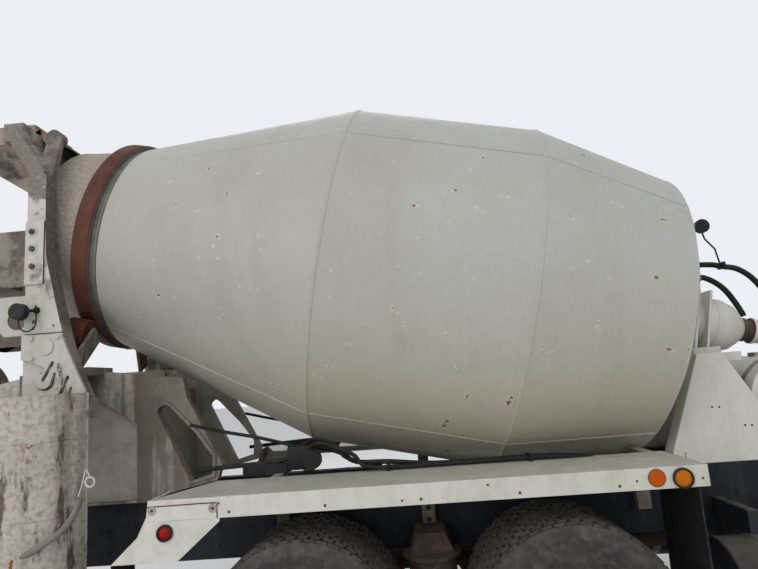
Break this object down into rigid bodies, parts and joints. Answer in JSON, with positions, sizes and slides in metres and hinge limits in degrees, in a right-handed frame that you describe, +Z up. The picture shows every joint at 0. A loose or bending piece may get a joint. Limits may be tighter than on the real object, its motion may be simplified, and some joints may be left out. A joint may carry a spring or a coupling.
{
  "type": "concrete mixer truck",
  "caption": "Rear-discharge concrete mixer truck with a conventional cab, an inclined turning drum, a charging hopper, a folding discharge chute, steered front wheels and a driven tandem.",
  "frame": {"origin": "middle of the truck's length and width, on the ground under the wheels", "axes": "+X forward, +Y to the driver's side, +Z up"},
  "size_m": [10.3999, 2.64, 3.77],
  "materials": {
    "drum_paint": "chalky off-white paint with stains and chips",
    "white_paint": "dirty off-white paint",
    "caked_paint": "paint caked with dried concrete",
    "chassis_dark": "dusty dark navy paint",
    "rusty_casting": "even brown rust",
    "cast_metal": "oily cast surface",
    "bright_steel": "dull bright steel",
    "wheel_paint": "dusty white enamel",
    "tyre": "dusty black rubber with worn block tread",
    "black_rubber": "matt black rubber",
    "window_glass": "clear tinted glass",
    "lamp_lens": "amber and red lamp plastic",
    "dark_plastic": "grained dark plastic",
    "seat_cloth": "woven dark cloth"
  },
  "bodies": {
    "chassis": {"frame_rails": "chassis_dark", "subframe": "chassis_dark", "front_bumper": "white_paint", "front_axle": "chassis_dark", "front_springs": "chassis_dark", "tandem_axles": "chassis_dark", "walking_beams": "rusty_casting", "suspension_posts": "rusty_casting", "cab_shell": "white_paint", "cab_glass": "window_glass", "seats": "seat_cloth", "dashboard": "dark_plastic", "engine_block": "cast_metal", "exhaust_stack": "bright_steel", "fuel_tanks": "chassis_dark", "step_boxes": "chassis_dark", "rear_fenders": "white_paint", "mud_flaps": "black_rubber", "lamps": "lamp_lens", "work_lamps": "dark_plastic", "front_pedestal": "white_paint", "gearbox": "white_paint", "drive_motor": "rusty_casting", "water_tank": "white_paint", "hoses": "black_rubber", "rear_pedestal": "caked_paint", "rear_posts": "white_paint", "drum_rollers": "rusty_casting", "hook_plates": "caked_paint", "extension_chutes": "caked_paint", "charge_hopper": "caked_paint", "discharge_collector": "caked_paint", "chute_bracket": "chassis_dark"},
    "drum": {"drum_shell": "drum_paint", "drum_ring": "rusty_casting"},
    "knuckle_left": {"knuckle_left": "cast_metal"},
    "knuckle_right": {"knuckle_right": "cast_metal"},
    "front_wheel_left": {"front_tyre_left": "tyre", "front_wheel_left": "wheel_paint"},
    "front_wheel_right": {"front_tyre_right": "tyre", "front_wheel_right": "wheel_paint"},
    "duals_front_left": {"tyres_front_left": "tyre", "wheels_front_left": "wheel_paint"},
    "duals_front_right": {"tyres_front_right": "tyre", "wheels_front_right": "wheel_paint"},
    "duals_rear_left": {"tyres_rear_left": "tyre", "wheels_rear_left": "wheel_paint"},
    "duals_rear_right": {"tyres_rear_right": "tyre", "wheels_rear_right": "wheel_paint"},
    "door_left": {"door_left": "white_paint", "door_glass_left": "window_glass"},
    "door_right": {"door_right": "white_paint", "door_glass_right": "window_glass"},
    "hood": {"hood": "white_paint", "grille_headlamps": "bright_steel"},
    "turntable": {"chute_turntable": "caked_paint"},
    "chute": {"main_chute": "caked_paint"},
    "fold": {"fold_chute": "caked_paint"},
    "lift_barrel": {"lift_barrel": "chassis_dark"},
    "lift_rod": {"lift_rod": "bright_steel"}
  },
  "joints": [
    {"name": "drum_spin", "type": "hinge", "parent": "chassis", "child": "drum", "pos_m": [-1.67, 0, 2.587], "axis": [0.9759, 0, -0.2181], "continuous": true},
    {"name": "steer_left", "type": "hinge", "parent": "chassis", "child": "knuckle_left", "pos_m": [4.1, 0.85, 0.53], "axis": [0, 0, 1], "range_deg": [-30, 30]},
    {"name": "steer_right", "type": "hinge", "parent": "chassis", "child": "knuckle_right", "pos_m": [4.1, -0.85, 0.53], "axis": [0, 0, 1], "range_deg": [-30, 30]},
    {"name": "front_wheel_left_spin", "type": "hinge", "parent": "knuckle_left", "child": "front_wheel_left", "pos_m": [4.1, 1.02, 0.53], "axis": [0, 1, 0], "continuous": true},
    {"name": "front_wheel_right_spin", "type": "hinge", "parent": "knuckle_right", "child": "front_wheel_right", "pos_m": [4.1, -1.02, 0.53], "axis": [0, 1, 0], "continuous": true},
    {"name": "duals_front_left_spin", "type": "hinge", "parent": "chassis", "child": "duals_front_left", "pos_m": [-0.51, 0.911, 0.52], "axis": [0, 1, 0], "continuous": true},
    {"name": "duals_front_right_spin", "type": "hinge", "parent": "chassis", "child": "duals_front_right", "pos_m": [-0.51, -0.911, 0.52], "axis": [0, 1, 0], "continuous": true},
    {"name": "duals_rear_left_spin", "type": "hinge", "parent": "chassis", "child": "duals_rear_left", "pos_m": [-1.882, 0.911, 0.52], "axis": [0, 1, 0], "continuous": true},
    {"name": "duals_rear_right_spin", "type": "hinge", "parent": "chassis", "child": "duals_rear_right", "pos_m": [-1.882, -0.911, 0.52], "axis": [0, 1, 0], "continuous": true},
    {"name": "door_left_swing", "type": "hinge", "parent": "chassis", "child": "door_left", "pos_m": [3.4635, 1.01, 1.6], "axis": [0, 0, -1], "range_deg": [0, 65]},
    {"name": "door_right_swing", "type": "hinge", "parent": "chassis", "child": "door_right", "pos_m": [3.4635, -1.01, 1.6], "axis": [0, 0, 1], "range_deg": [0, 65]},
    {"name": "hood_tilt", "type": "hinge", "parent": "chassis", "child": "hood", "pos_m": [4.96, 0, 0.83], "axis": [0, 1, 0], "range_deg": [0, 60]},
    {"name": "chute_swing", "type": "hinge", "parent": "chassis", "child": "turntable", "pos_m": [-4.25, 0, 1.3], "axis": [0, 0, 1], "range_deg": [-85, 85]},
    {"name": "chute_lift", "type": "hinge", "parent": "turntable", "child": "chute", "pos_m": [-4.25, 0, 1.64], "axis": [0, 1, 0], "range_deg": [-20, 10]},
    {"name": "chute_fold", "type": "hinge", "parent": "chute", "child": "fold", "pos_m": [-5.16163, 0, 1.79201], "axis": [0, -1, 0], "range_deg": [0, 178]},
    {"name": "lift_barrel_swing", "type": "hinge", "parent": "turntable", "child": "lift_barrel", "pos_m": [-4.385, 0, 1.205], "axis": [0, 1, 0], "range_deg": [-16, 9]},
    {"name": "lift_rod_slide", "type": "slide", "parent": "lift_barrel", "child": "lift_rod", "axis": [-0.7541, 0, 0.6568], "range_m": [-0.16, 0.09]}
  ],
  "couplings": [
    {"joint": "steer_right", "follows": "steer_left", "ratio": 1},
    {"joint": "lift_barrel_swing", "follows": "chute_lift", "ratio": 0.695},
    {"joint": "lift_rod_slide", "follows": "chute_lift", "m_per_rad": 0.428}
  ]
}
